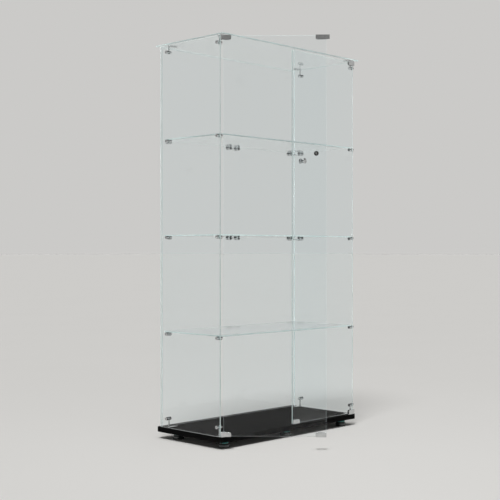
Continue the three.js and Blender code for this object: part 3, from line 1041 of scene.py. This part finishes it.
# Where the world's light changes: by the height of the direction, by how far it points behind the camera,
# and by the height again for the softbox.
HORIZON_FADE = (0.225, 0.47)
BEHIND_FADE = (0.35, 0.90)
SOFTBOX_FADE = (0.86, 0.92)
FRONT_LIGHT = {"power": 5.0, "size": 1.0, "place": (-0.6, -1.0, 2.2), "aim": (-0.2, -0.4, 0.0)}


def point_at(made, target):
    """Turns a light or camera so that it looks at target."""
    made.rotation_euler = (Vector(target) - made.location).to_track_quat("-Z", "Y").to_euler()


def add_light(name, data):
    made = bpy.data.objects.new(name, data)
    bpy.context.scene.collection.objects.link(made)
    return made


def make_glass_shade():
    """Dims the light that passes through the cabinet, as its panes would. It only acts on shadows."""
    material = bpy.data.materials.new("glass_shade")
    material.use_nodes = True
    tree = material.node_tree
    tree.nodes.clear()
    clear = tree.nodes.new("ShaderNodeBsdfTransparent")
    clear.inputs["Color"].default_value = (*grey(GLASS_SHADE), 1)
    output = tree.nodes.new("ShaderNodeOutputMaterial")
    tree.links.new(clear.outputs["BSDF"], output.inputs["Surface"])

    shade = block((BOARD_LOW.x, BOARD_LOW.y, BOARD_TOP), (BOARD_HIGH.x, BOARD_HIGH.y, CEILING))
    shade.name = "glass_shade"
    shade.data.materials.append(material)
    for rays in ("camera", "diffuse", "glossy", "transmission"):
        setattr(shade, f"visible_{rays}", False)


def fade(tree, source, between, low, high):
    """A smooth change from low to high while source runs between two values."""
    made = tree.nodes.new("ShaderNodeMapRange")
    made.interpolation_type = "SMOOTHSTEP"
    for name, value in zip(("From Min", "From Max", "To Min", "To Max"), (*between, low, high)):
        made.inputs[name].default_value = value
    tree.links.new(source, made.inputs["Value"])
    return made.outputs["Result"]


def combine(tree, operation, first, second):
    made = tree.nodes.new("ShaderNodeMath")
    made.operation = operation
    tree.links.new(first, made.inputs[0])
    tree.links.new(second, made.inputs[1])
    return made.outputs["Value"]


def make_floor():
    reach = FLOOR_REACH
    floor = prism([(-reach, -reach), (reach, -reach), (reach, reach), (-reach, reach)], -FLOOR_THICKNESS, 0)
    floor.name = "studio_floor"
    floor.data.materials.append(make_floor_material())


def make_lights():
    sun_data = bpy.data.lights.new("overhead_light", "SUN")
    sun_data.energy = SUN_STRENGTH
    sun_data.angle = SUN_ANGLE
    sun = add_light("overhead_light", sun_data)
    sun.rotation_euler = (SUN_TILT, 0, SUN_FROM)

    front_data = bpy.data.lights.new("front_light", "AREA")
    front_data.energy = FRONT_LIGHT["power"]
    front_data.size = FRONT_LIGHT["size"]
    front = add_light("front_light", front_data)
    front.location = FRONT_LIGHT["place"]
    point_at(front, FRONT_LIGHT["aim"])


def make_world():
    """Bright at the horizon and dark above it, which gives the chrome its contrast, dimmer on the camera's
    side, and with a softbox overhead for the chrome's bright tops."""
    world = bpy.data.worlds.new("studio")
    world.use_nodes = True
    bpy.context.scene.world = world
    tree = world.node_tree
    tree.nodes.clear()
    direction = tree.nodes.new("ShaderNodeTexCoord").outputs["Generated"]
    split = tree.nodes.new("ShaderNodeSeparateXYZ")
    tree.links.new(direction, split.inputs["Vector"])
    height = split.outputs["Z"]
    towards = tree.nodes.new("ShaderNodeVectorMath")
    towards.operation = "DOT_PRODUCT"
    tree.links.new(direction, towards.inputs[0])
    towards.inputs[1].default_value = (-math.sin(CAMERA_YAW), -math.cos(CAMERA_YAW), 0)

    room = fade(tree, height, HORIZON_FADE, 1.0, UPPER_LIGHT)
    dim = fade(tree, towards.outputs["Value"], BEHIND_FADE, 1.0, BEHIND_CAMERA)
    overhead = fade(tree, height, SOFTBOX_FADE, 0.0, SOFTBOX)
    strength = combine(tree, "ADD", combine(tree, "MULTIPLY", room, dim), overhead)

    background = tree.nodes.new("ShaderNodeBackground")
    background.inputs["Color"].default_value = (*HORIZON, 1)
    tree.links.new(strength, background.inputs["Strength"])
    output = tree.nodes.new("ShaderNodeOutputWorld")
    tree.links.new(background.outputs["Background"], output.inputs["Surface"])


place_camera()
make_floor()
make_lights()
make_world()
make_glass_shade()
place_base()
place_wall_fittings()
place_door_fittings()
place_glass()
bpy.context.scene.view_settings.view_transform = "Standard"
